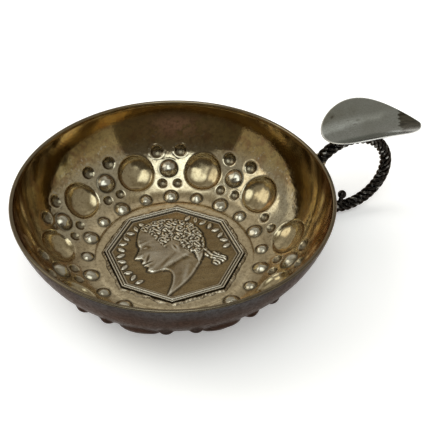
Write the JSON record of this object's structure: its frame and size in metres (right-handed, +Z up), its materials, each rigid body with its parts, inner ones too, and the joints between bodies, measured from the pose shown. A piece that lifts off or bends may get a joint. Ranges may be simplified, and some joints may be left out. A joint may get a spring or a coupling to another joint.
{
  "type": "tastevin",
  "caption": "Shallow silver wine-tasting cup with punched domes and bosses, an octagonal jeton set in its floor, a twisted-wire ring handle and a dished thumbpiece.",
  "frame": {"origin": "on the bowl's axis, at the surface that the bowl stands on", "axes": "+Z up along the bowl's axis, +X from the bowl's axis to the ring handle"},
  "size_m": [0.1038, 0.076, 0.0288],
  "materials": {
    "bowl_silver": "polished silver with a warm tarnish",
    "jeton_silver": "satin struck silver",
    "wire_silver": "dark tarnished silver, bright on the crests",
    "plate_silver": "satin silver",
    "solder": "dull silver solder"
  },
  "bodies": {
    "root": {"bowl": "bowl_silver", "jeton": "jeton_silver", "jeton_solder": "solder", "ring_wire_1": "wire_silver", "ring_wire_2": "wire_silver", "ring_wire_3": "wire_silver", "ring_wire_4": "wire_silver", "ring_wire_5": "wire_silver", "ring_upper_solder": "solder", "ring_lower_solder": "solder", "ball_terminal": "wire_silver", "thumbpiece": "plate_silver", "thumb_solder": "solder"}
  },
  "joints": []
}
